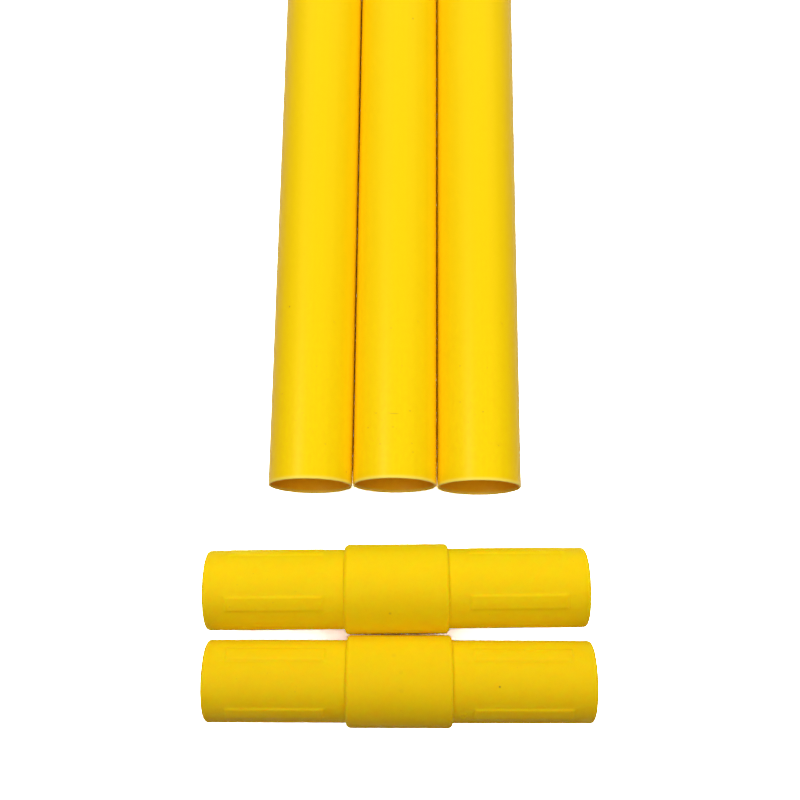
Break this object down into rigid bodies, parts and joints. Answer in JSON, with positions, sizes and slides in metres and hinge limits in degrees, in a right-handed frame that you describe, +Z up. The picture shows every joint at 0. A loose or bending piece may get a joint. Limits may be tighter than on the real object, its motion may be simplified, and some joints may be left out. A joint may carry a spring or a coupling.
{
  "type": "sectional net pole",
  "caption": "Knocked-down pole for a sports net: open-ended round plastic tubes side by side, with collared plug-in couplers lying across their mouths.",
  "frame": {"origin": "middle of the set's footprint, on the ground", "axes": "+Y along the tubes from their mouths to their far ends, +Z up, +X to the right when looking along +Y"},
  "size_m": [0.1424, 0.889, 0.033],
  "materials": {
    "tube_plastic": "semi-gloss extruded yellow plastic with faint lengthwise draw lines",
    "coupler_plastic": "satin moulded yellow plastic, slightly deeper in colour, with a fine grain"
  },
  "bodies": {
    "middle_tube": {"middle_tube": "tube_plastic"},
    "left_tube": {"left_tube": "tube_plastic"},
    "right_tube": {"right_tube": "tube_plastic"},
    "rear_coupler": {"rear_coupler": "coupler_plastic"},
    "front_coupler": {"front_coupler": "coupler_plastic"}
  },
  "joints": [
    {"name": "right_tube_turn", "type": "hinge", "parent": "middle_tube", "child": "right_tube", "pos_m": [0.07173, -0.43439, 0.01577], "axis": [0.0061, 0.0062, -1], "range_deg": [0, 89.05]},
    {"name": "left_tube_turn", "type": "hinge", "parent": "middle_tube", "child": "left_tube", "pos_m": [-0.05544, -0.44966, 0.01516], "axis": [0.0117, -0.0116, 0.9999], "range_deg": [0, 90.31]},
    {"name": "rear_coupler_push", "type": "slide", "parent": "middle_tube", "child": "rear_coupler", "axis": [0.9999, 0.0166, 0], "range_m": [0, 0.13045]},
    {"name": "front_coupler_push", "type": "slide", "parent": "middle_tube", "child": "front_coupler", "axis": [-1, -0.0052, 0], "range_m": [0, 0.13045]}
  ]
}
